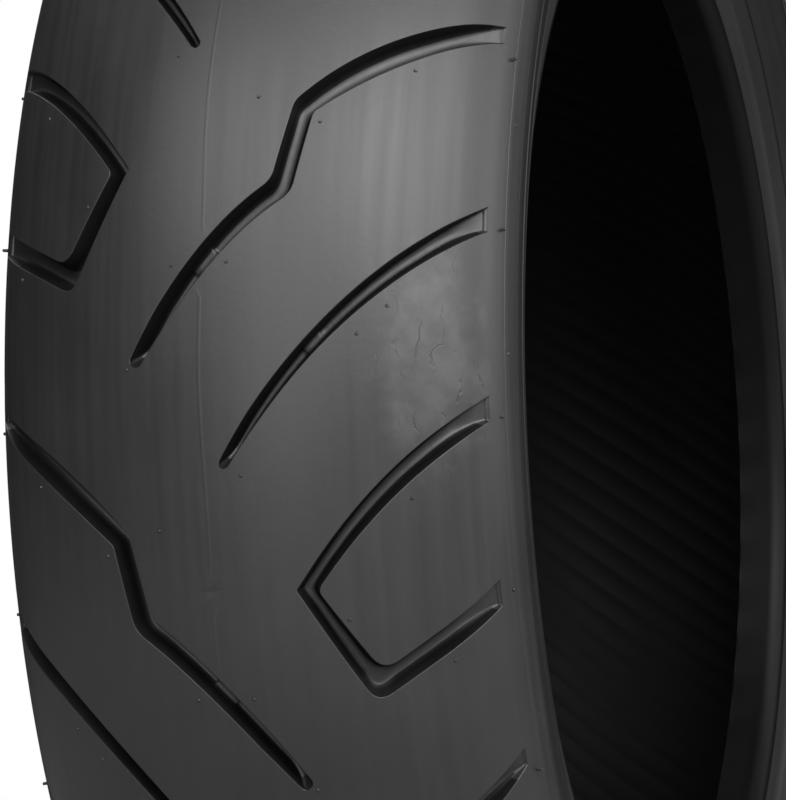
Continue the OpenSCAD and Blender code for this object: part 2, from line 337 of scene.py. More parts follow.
def half_section(half, depth):
    """Across half of a groove, from its edge to its middle: [distance from the middle, depth]."""
    lip = min(LIP_R, 0.35 * depth, 0.3 * half)
    drop = math.sin(WALL_A)
    run = (depth - lip) / math.tan(WALL_A)
    fillet = max(0.02, min(FLOOR_R, 0.5 * depth, 0.9 * (half - lip - run)))
    lip_a = np.array([0, 0.55, 1]) * WALL_A
    floor_a = np.array([1, 0.68, 0.34, 0]) * WALL_A
    wall_top = lip * (1 - math.cos(WALL_A))
    wall_foot = depth - fillet * (1 - math.cos(WALL_A))
    foot = half - lip * drop - (wall_foot - wall_top) / math.tan(WALL_A) - fillet * drop
    x = np.concatenate([half - lip * np.sin(lip_a), foot + fillet * np.sin(floor_a), [0]])
    z = np.concatenate([lip * (1 - np.cos(lip_a)), depth - fillet * (1 - np.cos(floor_a)), [depth]])
    return x / half, z


def groove_rows(groove):
    """A groove as rows of [s, v, d] across it, from its start to its end, and its tip if it has one."""
    legs = [bend(leg) for leg in groove["legs"]]
    path = np.concatenate([legs[0]] + [leg[1:] for leg in legs[1:]])
    coarse = groove_edges(path)
    edges, corners, bar_places = ([], []), [], []
    for k, leg in enumerate(legs):
        first = k * LEG_PARTS
        fine = np.linspace(0, LEG_PARTS, 200)
        sides = [c[first : first + LEG_PARTS + 1] for c in coarse]
        middle = (smooth_line(sides[0], fine) + smooth_line(sides[1], fine)) / 2
        along = run_length(middle)
        bars = [b[1:] for b in groove["bars"] if b[0] == k]
        marks = [np.interp(-s, -middle[:, 0], along) for b in bars for s in b]
        last = k == len(legs) - 1
        end = NEAR_TIP if last and groove["tip"] else NEAR_CORNER
        places = leg_places(along[-1], NEAR_CORNER, end, marks)
        if k:
            places = places[1:]
        at = np.interp(places, along, fine)
        for edge, side in zip(edges, sides):
            edge.append(smooth_line(side, at))
        bar_places.append(np.array([any(min(marks) < p < max(marks) for _ in bars) for p in places], bool))
        corners.append(sum(len(e) for e in edges[0]) - 1)
    outer, inner = (np.concatenate(e) for e in edges)
    on_bar = np.concatenate(bar_places)
    for corner, (outer_q, inner_q) in zip(corners, groove["rounding"]):
        round_corner(outer, corner, outer_q)
        round_corner(inner, corner, inner_q)
    for edge in (outer, inner):
        square_end(edge, groove["legs"][0][0][0])
    if not groove["tip"]:
        for edge in (outer, inner):
            square_end(edge[::-1], groove["legs"][-1][2][0])
    middle, half = (outer + inner) / 2, (outer - inner) / 2
    fade = np.clip((middle[:, 0] - FADE_FROM) / (FADE_TO - FADE_FROM), 0, 1) ** 4
    depth = GROOVE_DEPTH - (GROOVE_DEPTH - END_DEPTH) * fade
    if groove["tip"]:
        left = run_length(middle)[-1] - run_length(middle)
        taper = TIP_WIDTH + (1 - TIP_WIDTH) * np.clip(left / TIP_TAPER, 0, 1) ** 0.8
        taper *= np.sqrt(1 - np.clip(1 - left / TIP_R, 0, 1) ** 2)
        half = half * taper[:, None]
        depth *= 1 - np.clip(1 - left / TIP_RAMP, 0, 1) ** 2
    depth = depth - BAR_H * on_bar
    rows = []
    count = len(middle) - (1 if groove["tip"] else 0)
    for i in range(count):
        width = np.linalg.norm(half[i])
        x, z = half_section(width, depth[i])
        x, z = np.concatenate([x, -x[-2::-1]]), np.concatenate([z, z[-2::-1]])
        if i == 0 or (i == count - 1 and not groove["tip"]):
            z = z * 0
        rows.append(np.column_stack([middle[i] + x[:, None] * half[i], z]))
    return np.array(rows), (np.array([[*middle[-1], 0.0]]) if groove["tip"] else None)


def inside(points, loop):
    """True for each point inside a closed loop."""
    x, y = points.T
    result = np.zeros(len(points), bool)
    for (x0, y0), (x1, y1) in zip(loop, np.roll(loop, -1, axis=0)):
        if y0 != y1:
            crosses = (y0 > y) != (y1 > y)
            result ^= crosses & (x < (x1 - x0) * (y - y0) / (y1 - y0) + x0)
    return result


def resampled(points, step):
    """The same open polyline with points about step apart, its corners kept."""
    out = [points[0]]
    for a, b in zip(points, points[1:]):
        n = max(1, round(float(np.linalg.norm(b - a)) / step))
        out += [a + (b - a) * (k + 1) / n for k in range(n)]
    return np.array(out)


MOULD_LINE_W, MOULD_LINE_H, MOULD_LINE_TILT = 0.4, 0.06, 0.12
MOULD_LINE_SWAY, MOULD_LINE_SWINGS, MOULD_LINE_STEPS, MOULD_LINE_CLEAR = 0.5, 3, 72, 3.0
# The seam between two pitches keeps clear of the grooves: its ends in rim steps, left and right, and its
# bends as [s, v]
SEAM_ENDS = (54, 27)
SEAM_BENDS = [(-60, 252), (-12, 218), (5, 185), (50, 143)]
LAND_GAP, LAND_CLEAR, LAND_COLUMNS = 4, 2.4, 45
LAND_V = (-160, 290)
SAME_PLACE = 0.01


def tread_sector():
    """One pitch of the tread surface: points [s, v, d], normals, faces, and the index lists of its seams and
    its two rims. The upper seam's points repeat the lower seam's, one pitch further on."""
    points, normals, faces, loops = [], [], [], []

    def add(new, normal):
        first = sum(len(p) for p in points)
        points.append(new)
        normals.append(normal)
        return first

    for groove in GROOVES:
        rows, tip = groove_rows(groove)
        for side in (1, -1):
            grid = rows.copy()
            end = None if tip is None else tip.copy()
            if side < 0:
                grid = grid * (-1, 1, 1) + (0, PITCH / 2, 0)
                end = None if end is None else end * (-1, 1, 1) + (0, PITCH / 2, 0)
            n, m = grid.shape[:2]
            place = tread_point(grid[..., 0], grid[..., 1], grid[..., 2])
            flat = tread_normal(grid[..., 0], grid[..., 1])
            normal = np.cross(np.gradient(place, axis=0), np.gradient(place, axis=1))
            normal /= np.maximum(np.linalg.norm(normal, axis=2, keepdims=True), 1e-9)
            normal *= np.sign(np.sum(normal * flat, axis=2, keepdims=True) + 1e-9)
            for rim in ((slice(None), 0), (slice(None), -1), (0, slice(None))):
                normal[rim] = flat[rim]
            if end is None:
                normal[-1] = flat[-1]
            first = add(grid.reshape(-1, 3), normal.reshape(-1, 3))
            index = first + np.arange(n * m).reshape(n, m)
            quads = [index[:-1, :-1], index[1:, :-1], index[1:, 1:], index[:-1, 1:]]
            quads = np.stack(quads, -1).reshape(-1, 4)
            loop = list(index[:, 0])
            if end is None:
                loop += list(index[-1, 1:-1])
            else:
                tip_at = add(end, tread_normal(end[:, 0], end[:, 1]))
                loop.append(tip_at)
                fan = [[a, tip_at, b] for a, b in zip(index[-1, :-1], index[-1, 1:])]
            loop += list(index[::-1, -1]) + list(index[0, -2:0:-1])
            new_faces = quads.tolist() + ([] if end is None else fan)
            if side < 0:
                new_faces = [f[::-1] for f in new_faces]
            faces += new_faces
            loops.append(loop)

    # The seam runs between the grooves, from the left rim to the right rim
    right_end, left_end = SEAM_ENDS[1] * STEP, SEAM_ENDS[0] * STEP
    bends = np.array([(-tread_edge, left_end), *SEAM_BENDS, (tread_edge, right_end)])
    seam = resampled(bends, LAND_GAP)
    ridge = MOULD_LINE_W * np.array([-2.2, -1, 0, 1, 2.2])
    ridge_tilt = MOULD_LINE_TILT * np.array([0, -1, 0, 1, 0])
    crossing = np.column_stack([ridge, np.interp(ridge, *bends.T)])
    seam = np.vstack([seam[seam[:, 0] <= -MOULD_LINE_CLEAR], crossing, seam[seam[:, 0] >= MOULD_LINE_CLEAR]])
    middle_v = np.interp(0, *bends.T)
    rim_v = np.arange(1, EDGE_STEPS) * STEP

    def land(sv, d=0.0, tilt=0.0):
        sv = np.asarray(sv, float)
        d = np.broadcast_to(d, len(sv))
        normal = tread_normal(sv[:, 0], sv[:, 1]) + np.outer(np.broadcast_to(tilt, len(sv)), (0, 1, 0))
        return add(np.column_stack([sv, d]), normal / np.linalg.norm(normal, axis=1)[:, None])

    seam_d = -MOULD_LINE_H * (np.abs(seam[:, 0]) < SAME_PLACE)
    seam_tilt = np.zeros(len(seam))
    seam_tilt[np.searchsorted(seam[:, 0], ridge - 0.001)] = ridge_tilt
    low = land(seam - (0, PITCH), seam_d, seam_tilt) + np.arange(len(seam))
    high = land(seam, seam_d, seam_tilt) + np.arange(len(seam))
    rims = []
    for rim_s, rim_end in ((tread_edge, right_end), (-tread_edge, left_end)):
        rim = np.column_stack([np.full(len(rim_v), rim_s), rim_end - PITCH + rim_v])
        rims.append(land(rim) + np.arange(len(rim_v)))
    right, left = rims
    border = list(low) + list(right) + list(high[::-1]) + list(left[::-1])

    solid = np.concatenate(points)
    outlines = [solid[loop][:, :2] for loop in loops]
    fixed = KDTree(sum(len(o) for o in outlines) + len(border))
    for k, p in enumerate(np.concatenate(outlines + [solid[border][:, :2]])):
        fixed.insert((p[0], p[1], 0), k)
    fixed.balance()

    def clear(sv, gap):
        far = np.array([fixed.find((p[0], p[1], 0))[2] > gap for p in sv])
        ok = far & inside(sv, solid[border][:, :2])
        for outline in outlines:
            ok &= ~inside(sv, outline)
        return ok

    # The mould's parting line down the middle, as a fine ridge that stops at the grooves
    line_v = np.linspace(middle_v - PITCH, middle_v, MOULD_LINE_STEPS + 1)
    sway = MOULD_LINE_SWAY * np.sin(2 * math.pi * MOULD_LINE_SWINGS * (line_v - middle_v) / PITCH)
    open_line = clear(np.column_stack([sway, line_v]), MOULD_LINE_CLEAR)
    lines = []
    for w, tilt in zip(ridge, ridge_tilt):
        inner = np.column_stack([sway + w, line_v])[1:-1]
        kept = open_line[1:-1]
        first = land(inner[kept], -MOULD_LINE_H * (w == 0), tilt)
        ids = np.full(len(inner), -1)
        ids[kept] = first + np.arange(kept.sum())
        at_seam = np.abs(seam[:, 0] - w) < SAME_PLACE
        ids = np.concatenate([low[at_seam][:1], ids, high[at_seam][:1]])
        lines += [(a, b) for a, b in zip(ids[:-1], ids[1:]) if a >= 0 and b >= 0]

    # A loose grid of points for the rest of the land
    columns = enumerate(np.linspace(-tread_edge, tread_edge, LAND_COLUMNS)[1:-1])
    rows = np.arange(-EDGE_STEPS, 2 * EDGE_STEPS)
    grid = np.array([(s, v) for i, s in columns for v in (rows + 0.5 * (i % 2)) * STEP])
    in_reach = (grid[:, 1] > LAND_V[0]) & (grid[:, 1] < LAND_V[1])
    grid = grid[in_reach & (np.abs(grid[:, 0]) > MOULD_LINE_CLEAR)]
    land(grid[clear(grid, LAND_CLEAR)])

    solid = np.concatenate(points)
    strip = set(int(i) for loop in loops for i in loop)
    first_land = int(low[0])
    used = sorted(strip) + list(range(first_land, len(solid)))
    number = {v: i for i, v in enumerate(used)}
    edges = [(number[a], number[b]) for loop in loops + [border] for a, b in zip(loop, loop[1:] + loop[:1])]
    edges += [(number[a], number[b]) for a, b in lines]
    verts, _, tris, origin, _, _ = delaunay_2d_cdt([tuple(p) for p in solid[used][:, :2]], edges, [], 0, 1e-6)
    lost = [i for i, o in enumerate(origin) if not o]
    if lost or len(verts) != len(used):
        print(f"tread land: {len(lost)} crossings, {len(used) - len(verts)} merged points")
    back = [used[o[0]] if o else -1 for o in origin]
    for i in lost:
        back[i] = land([tuple(verts[i])])
    solid = np.concatenate(points)
    tris = np.array([[back[i] for i in t] for t in tris])
    centre = solid[tris][:, :, :2].mean(1)
    keep = inside(centre, solid[border][:, :2])
    for outline in outlines:
        keep &= ~inside(centre, outline)
    p = solid[tris][:, :, :2]
    area = np.cross(p[:, 1] - p[:, 0], p[:, 2] - p[:, 0])
    keep &= np.abs(area) > 1e-7
    tris[area < 0] = tris[area < 0][:, ::-1]
    faces += tris[keep].tolist()
    return solid, np.concatenate(normals), faces, low, high, right, left


def make_tread():
    flat, normal, faces, low, high, right, left = tread_sector()
    place = tread_point(flat[:, 0], flat[:, 1], flat[:, 2])
    count = len(flat)
    own = np.setdiff1d(np.arange(count), high)
    new_index = np.full(count, -1)
    new_index[own] = np.arange(len(own))
    points, normals, all_faces, across = [], [], [], []
    rims = {1: np.zeros(PITCHES * EDGE_STEPS, int), -1: np.zeros(PITCHES * EDGE_STEPS, int)}
    for k in range(PITCHES):
        turn = np.array(Matrix.Rotation(-2 * math.pi * k / PITCHES, 3, "Y"))
        points.append(place[own] @ turn.T)
        normals.append(normal[own] @ turn.T)
        across.append(flat[own, 0])
        here = new_index + k * len(own)
        here[high] = new_index[low] + (k + 1) % PITCHES * len(own)
        all_faces += [[int(here[i]) for i in f] for f in faces]
        for side, rim, end in ((1, right, low[-1]), (-1, left, low[0])):
            chain = [end, *rim]
            at = np.round(flat[chain, 1] / STEP).astype(int) + k * EDGE_STEPS
            rims[side][at % (PITCHES * EDGE_STEPS)] = here[chain]
    # The inner face, on the tread base, closes the solid
    around = PITCHES * EDGE_STEPS
    over_belts = CASING_SHOULDER_R + BASE_T + 2 * BELT_T
    base = [
        arc(crown_c, CROWN_R - CAP_T, 0, casing_a, 8),
        arc(casing_c, over_belts, casing_a, BASE_END, 6)[1:],
    ]
    base = np.concatenate(base)
    base = np.concatenate([base[::-1], mirrored(base[1:])])
    angles = np.arange(around) * 2 * math.pi / around
    rings = [rims[1]]
    first = len(own) * PITCHES
    for w, r in base:
        points.append(np.column_stack([r * np.cos(angles), np.full(around, w), r * np.sin(angles)]))
        normals.append(np.zeros((around, 3)))
        across.append(np.full(around, w))
        rings.append(first + np.arange(around))
        first += around
    rings.append(rims[-1])
    for a, b in zip(rings, rings[1:]):
        quads = np.stack([a, b, np.roll(b, -1), np.roll(a, -1)], 1)
        all_faces += quads.tolist()
    points, normals, across = (np.concatenate(part) for part in (points, normals, across))
    return new_object("tread", points, all_faces, across, normals)


# ---------------------------------------------------------------- sides, beads and liner
EVEN = np.arange(PITCHES * EDGE_STEPS) * 2 * math.pi / (PITCHES * EDGE_STEPS)
TOE_FLASH = 0.3
RIBS, RIB_H, RIB_SLANT = 160, 0.25, math.tan(math.radians(35))
RIB_SHAPE = [(0, 0), (0.1, 1), (0.26, 1), (0.38, 0)]
SIDES = [("left", -1), ("right", 1)]
# How far up the apex the chafer and the turned-up plies reach, as parts of its height
CHAFER_TOP, OUTER_PLY_TOP, INNER_PLY_TOP = 0.35, 0.6, 0.82
FLANGE_ANGLES = np.radians([122, 117, 112, 107, 102, 98, 94, 90])
RIB_END, RIB_FADE = 12, 15
# Groove walls that stand steeper than this, as the cosine of their normal's angle to the tread, and end at
# this s, take a darker finish: painted shade in the grooves
WALL_COS, WALL_END_S = 0.77, 96.5


def fixed(obj, slot, *nodes):
    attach(obj, "root")
    if nodes:
        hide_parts(*nodes)
    return obj


def make_wing(name, flip):
    inner = [
        on_circle(casing_c, CASING_SHOULDER_R, EDGE_STRIP_END),
        on_circle(casing_c, CASING_SHOULDER_R + BASE_T + 2 * BELT_T, BELTS_END),
    ]
    section = np.vstack([side_line(CAP_EDGE, WING_EDGE), inner])
    return lathe(name, section * (flip, 1), EVEN)


def make_sidewall(name, flip):
    under = [
        turnup(CHAFER_TOP, 2 * PLY_T),
        turnup(OUTER_PLY_TOP, 2 * PLY_T),
        turnup(OUTER_PLY_TOP, PLY_T),
        turnup(INNER_PLY_TOP, PLY_T),
        turnup(INNER_PLY_TOP, 0),
    ]
    casing = casing_face(0)
    casing = casing[casing[:, 1] < on_circle(casing_c, CASING_SHOULDER_R, EDGE_STRIP_END)[1] + SAME_PLACE]
    section = np.vstack([side_line(WING_EDGE, FLANGE_A), under, casing[::-1]])
    return lathe(name, section * (flip, 1), EVEN)


def make_cushion(name, flip):
    flange = [on_circle(flange_c, -FLANGE_R, a) for a in FLANGE_ANGLES]
    heel = arc(heel_c, HEEL_R, math.pi / 2, math.pi, 1)
    toe = arc(toe_c, TOE_R, math.pi, 1.5 * math.pi, 0.6)
    cover = arc(bundle_c, -BUNDLE_R - 2 * PLY_T - CHAFER_T, LINER_END, rise_a, 2)
    under = [
        on_circle(bundle_c, -BUNDLE_R - 2 * PLY_T - LINER_T, LINER_END),
        *cover,
        turnup(CHAFER_TOP, 2 * PLY_T + CHAFER_T),
        turnup(CHAFER_TOP, 2 * PLY_T),
    ]
    section = np.vstack([flange, heel, toe, under])
    flash = np.zeros((len(EVEN), len(section)))
    at = len(flange) + len(heel) + 1
    ragged = 0.3 * np.sin(61 * EVEN) + 0.2 * np.sin(143 * EVEN + 1) * np.sin(7 * EVEN)
    flash[:, at] = TOE_FLASH * (0.5 + ragged)
    return lathe(name, section * (flip, 1), EVEN, lift=flash)


def make_liner():
    """The cavity's skin, printed with the slanted ribs of the curing bladder."""
    cavity = casing_face(2 * PLY_T + LINER_T, LINER_END)
    back = casing_face(2 * PLY_T, LINER_END)
    cavity = np.vstack([mirrored(cavity[:0:-1]), cavity])
    back = np.vstack([mirrored(back[:0:-1]), back])
    section = np.vstack([cavity, back[::-1]])
    angles = np.array([2 * math.pi * (k + at) / RIBS for k in range(RIBS) for at, _ in RIB_SHAPE])
    steps = np.linalg.norm(np.diff(cavity, axis=0, prepend=cavity[:1]), axis=1)
    across = np.cumsum(steps) - np.sum(steps) / 2
    slant = across * RIB_SLANT / cavity[:, 1].max()
    back_slant = np.interp(back[:, 0], [back[0, 0], back[-1, 0]], [slant[0], slant[-1]])[::-1]
    fade = np.clip((np.sum(steps) / 2 - RIB_END - np.abs(across)) / RIB_FADE, 0, 1)
    height = RIB_H * np.array([h for _ in range(RIBS) for _, h in RIB_SHAPE])[:, None] * fade
    lift = np.hstack([height, np.zeros((len(angles), len(back)))])
    return lathe("liner", section, angles, np.concatenate([slant, back_slant]), lift)


def groove_shade_faces(mesh):
    """1 for each side wall of the tread's grooves, which takes the darker finish that paints shade into the
    grooves, and 0 for other faces. End walls stay like the land.
    """
    count = len(mesh.polygons)
    normal, first = np.zeros(3 * count), np.zeros(count, int)
    centre, across = np.zeros(3 * count), np.zeros(len(mesh.vertices))
    mesh.polygons.foreach_get("normal", normal)
    mesh.polygons.foreach_get("center", centre)
    mesh.polygons.foreach_get("loop_start", first)
    mesh.attributes["across"].data.foreach_get("value", across)
    corner = np.zeros(len(mesh.loops), int)
    mesh.loops.foreach_get("vertex_index", corner)
    x, _, z = centre.reshape(-1, 3).T
    across = across[corner[first]]
    outward = tread_normal(across, np.arctan2(z, x) * CROWN_TOP)
    steep = np.abs(np.sum(normal.reshape(-1, 3) * outward, axis=1)) < WALL_COS
    return (steep & (np.abs(across) < WALL_END_S)).astype(int)


tread = fixed(make_tread(), "tread_rubber", "tread_cap")
wings = [fixed(make_wing(f"wing_{s}", f), "sidewall_rubber", f"tread_wing_{s}") for s, f in SIDES]
sidewalls = [fixed(make_sidewall(f"side_{s}", f), "sidewall_rubber", f"sidewall_{s}") for s, f in SIDES]
cushions = [fixed(make_cushion(f"cushion_{s}", f), "cushion_rubber", f"rim_cushion_{s}") for s, f in SIDES]
liner = fixed(make_liner(), "liner_rubber", "inner_liner")


# ---------------------------------------------------------------- vent stubs
# Where the mould's vents are in a pitch of the right side: (s, v)
TRIMMED_VENTS = [
    (-12.6, 88.5), (16.9, 71.5), (37.7, 63.2), (67.8, 86.6), (111.9, 81.4), (8.8, 14.8), (-10.2, 14.6),
    (51.6, -9.6), (110.7, -13.9), (-26.7, -18.9), (61.6, 0.1), (68, -66), (77.8, -125), (44.4, -104.9),
]
LONG_VENTS = [(105.5, 107.2), (105.5, 34.5), (105.5, -38.5), (105.5, -105.6)]
VENT_R, VENT_SIDES, TRIMMED_H = 0.6, 8, 0.45
LONG_H, LONG_H_SWING = 1.5, 0.8


def make_vents():
    points, faces, across = [], [], []
    for k in range(PITCHES):
        for flip in (1, -1):
            for n, (s, v) in enumerate(TRIMMED_VENTS + LONG_VENTS):
                height = TRIMMED_H
                if n >= len(TRIMMED_VENTS):
                    height = LONG_H + LONG_H_SWING * math.sin(5 * n + 3 * k + flip)
                at = (flip * s, v + (k + (0 if flip > 0 else 0.5)) * PITCH)
                base, up = tread_point(*at, 0), tread_normal(*at)
                side = np.cross(up, (0, 1, 0))
                side /= np.linalg.norm(side)
                other = np.cross(up, side)
                first = len(points)
                for out, h in ((1.25, -0.3), (1.05, 0.1), (0.85, height - 0.15), (0.6, height)):
                    for i in range(VENT_SIDES):
                        a = 2 * math.pi * i / VENT_SIDES
                        spoke = math.cos(a) * side + math.sin(a) * other
                        points.append(base + h * up + VENT_R * out * spoke)
                        across.append(at[0])
                for ring in range(3):
                    start = first + ring * VENT_SIDES
                    for i in range(VENT_SIDES):
                        a, b = start + i, start + (i + 1) % VENT_SIDES
                        faces.append([a, b, b + VENT_SIDES, a + VENT_SIDES])
                faces.append([first + 3 * VENT_SIDES + i for i in range(VENT_SIDES)])
                faces.append([first + i for i in reversed(range(VENT_SIDES))])
    return new_object("vent_stubs", points, faces, across)


vents = fixed(make_vents(), "tread_rubber")


# ---------------------------------------------------------------- materials
def material(name):
    new = bpy.data.materials.new(name)
    new.use_nodes = True
    return new, new.node_tree


def node(tree, kind, inputs=None, **settings):
    new = tree.nodes.new("ShaderNode" + kind)
    for key, value in settings.items():
        setattr(new, key, value)
    for key, value in (inputs or {}).items():
        if isinstance(value, bpy.types.NodeSocket):
            tree.links.new(value, new.inputs[key])
        else:
            new.inputs[key].default_value = value
    return new


def math_node(tree, operation, *values):
    return node(tree, "Math", dict(enumerate(values)), operation=operation).outputs[0]


def noise(tree, vector, scale, detail=3, rough=0.5):
    inputs = {"Vector": vector, "Scale": scale, "Detail": detail, "Roughness": rough}
    return node(tree, "TexNoise", inputs).outputs["Fac"]


def between(tree, value, low, high, to_low, to_high):
    inputs = {"Value": value, "From Min": low, "From Max": high, "To Min": to_low, "To Max": to_high}
    return node(tree, "MapRange", inputs).outputs["Result"]


def object_place(tree):
    return node(tree, "TexCoord").outputs["Object"]


def round_streaks(tree, across_scale, along_scale):
    """Noise drawn out round the tire: the scales are features per mm across and per metre along."""
    across = node(tree, "Attribute", attribute_name="across").outputs["Fac"]
    apart = node(tree, "SeparateXYZ", {"Vector": object_place(tree)})
    vector = node(tree, "CombineXYZ", {
        "X": math_node(tree, "MULTIPLY", across, across_scale),
        "Y": math_node(tree, "MULTIPLY", apart.outputs["X"], along_scale),
        "Z": math_node(tree, "MULTIPLY", apart.outputs["Z"], along_scale),
    })
    return noise(tree, vector.outputs["Vector"], 1, 4, 0.6)


def shade(tree, color, roughness, bumps, specular=0.5):
    """Sets the shader from a (dark, light, factor), a roughness socket and (height, distance, strength)s."""
    shader = tree.nodes["Principled BSDF"]
    dark, light, factor = color
    mix = node(tree, "Mix", data_type="RGBA", clamp_factor=False)
    tree.links.new(factor, mix.inputs["Factor"])
    mix.inputs[6].default_value = (*dark, 1)
    mix.inputs[7].default_value = (*light, 1)
    tree.links.new(mix.outputs[2], shader.inputs["Base Color"])
    tree.links.new(roughness, shader.inputs["Roughness"])
    shader.inputs["Specular IOR Level"].default_value = specular
    normal = None
    for height, distance, strength in bumps:
        bump = node(tree, "Bump", {"Height": height, "Distance": distance, "Strength": strength})
        if normal is not None:
            tree.links.new(normal, bump.inputs["Normal"])
        normal = bump.outputs["Normal"]
    tree.links.new(normal, shader.inputs["Normal"])


def grey(value, warm=0.0):
    return (value * (1 + warm), value, value * (1 - warm))


def scuffed(tree, centre, reach):
    """A patch where handling has hazed the skin, and the long fine creases in it, which the colour also uses
    as painted shade: two factors from 0 to 1.
    """
    place = object_place(tree)
    apart = node(tree, "VectorMath", {0: place, 1: centre}, operation="SUBTRACT")
    scaled = node(tree, "VectorMath", {0: apart.outputs[0], 1: reach}, operation="DIVIDE")
    length = node(tree, "VectorMath", {0: scaled.outputs[0]}, operation="LENGTH").outputs["Value"]
    cloud = noise(tree, place, 75, 4, 0.65)
    edge = math_node(tree, "MULTIPLY_ADD", cloud, 1.6, math_node(tree, "SUBTRACT", length, 0.8))
    blotch = between(tree, noise(tree, place, 130, 3), 0.35, 0.62, 0.4, 1)
    patch = math_node(tree, "MULTIPLY", between(tree, edge, 1.05, 0.6, 0, 1), blotch)
    wave = {"Vector": place, "Scale": 58, "Distortion": 8, "Detail": 4, "Detail Scale": 1.6}
    folds = node(tree, "TexWave", wave, bands_direction="Y").outputs["Fac"]
    some = between(tree, noise(tree, place, 95), 0.46, 0.6, 0, 1)
    line = between(tree, folds, 0.96, 1, 0, 1)
    crease_relief_and_shade = math_node(tree, "MULTIPLY", math_node(tree, "MULTIPLY", line, some), patch)
    return patch, crease_relief_and_shade


def rubber(name, dark, light, satin, dull, streak, grain, scuff=None, specular=0.5):
    """Cured rubber: cloudy colour, streaks round the tire in its gloss, and a fine skin.

    dark and light are the greys of its colour, satin and dull its lowest and highest roughness, streak the
    share of streaks in the gloss, grain the strength of the skin, and scuff the centre and reach of a patch
    whose crease lines are painted darker, as painted shade in the creases.
    """
    made, tree = material(name)
    place = object_place(tree)
    cloud = noise(tree, place, 22, 4, 0.6)
    fine = noise(tree, place, 420, 3, 0.6)
    streaks = round_streaks(tree, 0.22, 7)
    scratches = round_streaks(tree, 1.6, 24)
    tint = math_node(tree, "MULTIPLY_ADD", streaks, 0.4, math_node(tree, "MULTIPLY", cloud, 0.6))
    tint = between(tree, tint, 0.3, 0.7, 0, 1)
    gloss = math_node(tree, "MULTIPLY_ADD", streaks, streak, math_node(tree, "MULTIPLY", cloud, 1 - streak))
    bumps = [(cloud, 0.0008, 0.15), (scratches, 0.0001, 0.25 * streak), (fine, 0.0002, grain)]
    if scuff:
        patch, crease_relief_and_shade = scuffed(tree, *scuff)
        tint = math_node(tree, "MULTIPLY_ADD", patch, SCUFF_AND_CREASE_SHADE_TINT, tint)
        # Painted shade: the crease lines are darkened back out of the haze.
        tint = math_node(tree, "MULTIPLY_ADD", crease_relief_and_shade, -SCUFF_AND_CREASE_SHADE_TINT, tint)
        bumps.append((crease_relief_and_shade, -0.0002, 0.8))
    shade(tree, (grey(dark), grey(light), tint), between(tree, gloss, 0.3, 0.7, satin, dull), bumps, specular)
    return made


def cord(name, dark, light, pitch, lean):
    """Rubbered parallel cords, pitch metres apart, that lean off the plane of the tire."""
    made, tree = material(name)
    apart = node(tree, "SeparateXYZ", {"Vector": object_place(tree)})
    around = math_node(tree, "ARCTAN2", apart.outputs["Z"], apart.outputs["X"])
    wave = 2 * math.pi * CASING_R * MM / pitch
    whole = float(math.floor(wave * math.sin(lean) / (2 * math.pi)))
    turns = math_node(tree, "MULTIPLY", around, whole)
    phase = math_node(tree, "MULTIPLY_ADD", apart.outputs["Y"], 2 * math.pi / pitch * math.cos(lean), turns)
    cords = math_node(tree, "SINE", phase)
    gum = noise(tree, object_place(tree), 60)
    factor = between(tree, cords, -1, 1, 0, 1)
    shade(
        tree,
        (dark, light, factor),
        between(tree, gum, 0.3, 0.7, 0.5, 0.75),
        [(cords, 0.0003, 0.6), (gum, 0.0003, 0.2)],
    )
    return made


def steel(name):
    """Drawn wire with a bronze coat."""
    made, tree = material(name)
    rust = noise(tree, object_place(tree), 90)
    drawn = noise(tree, object_place(tree), 1500)
    shade(
        tree,
        ((0.32, 0.2, 0.11), (0.62, 0.47, 0.3), between(tree, rust, 0.35, 0.65, 0, 1)),
        between(tree, drawn, 0.3, 0.7, 0.25, 0.45),
        [(drawn, 0.0001, 0.2)],
    )
    tree.nodes["Principled BSDF"].inputs["Metallic"].default_value = 1
    return made


def woven(name, dark, light, pitch):
    """Rubbered cloth with threads pitch metres apart both ways."""
    made, tree = material(name)
    place = object_place(tree)
    apart = node(tree, "SeparateXYZ", {"Vector": place})
    around = math_node(tree, "ARCTAN2", apart.outputs["Z"], apart.outputs["X"])
    threads = float(math.floor(2 * math.pi * SEAT_R * MM / pitch))
    warp = math_node(tree, "SINE", math_node(tree, "MULTIPLY", around, threads))
    weft = math_node(tree, "SINE", math_node(tree, "MULTIPLY", apart.outputs["Y"], 2 * math.pi / pitch))
    weave = math_node(tree, "MULTIPLY", warp, weft)
    gum = noise(tree, place, 80)
    shade(
        tree,
        (dark, light, between(tree, weave, -1, 1, 0, 1)),
        between(tree, gum, 0.3, 0.7, 0.6, 0.85),
        [(weave, 0.0003, 0.5), (gum, 0.0002, 0.2)],
    )
    return made


# Centre and reach in metres of the hazed patch on the right shoulder, and how far it shifts the skin's
# colour: lighter for the haze, and darker again along its creases as painted shade
SCUFF = ((0.294, 0.070, -0.016), (0.028, 0.017, 0.038))
SCUFF_AND_CREASE_SHADE_TINT = 3.6
TREAD = rubber("tread_rubber_skin", 0.0075, 0.014, 0.40, 0.52, 0.7, 0.25, SCUFF)
SIDE = rubber("sidewall_rubber_skin", 0.005, 0.009, 0.42, 0.52, 0.5, 0.2, specular=0.25)
CUSHION = rubber("cushion_rubber_skin", 0.008, 0.013, 0.46, 0.58, 0.5, 0.3, specular=0.28)
# The grooves' side walls take a darker, duller rubber than the tread: painted shade in the grooves.
GROOVE_SHADE = rubber("groove_wall_painted_shade", 0.003, 0.006, 0.42, 0.55, 0.3, 0.2, specular=0.15)
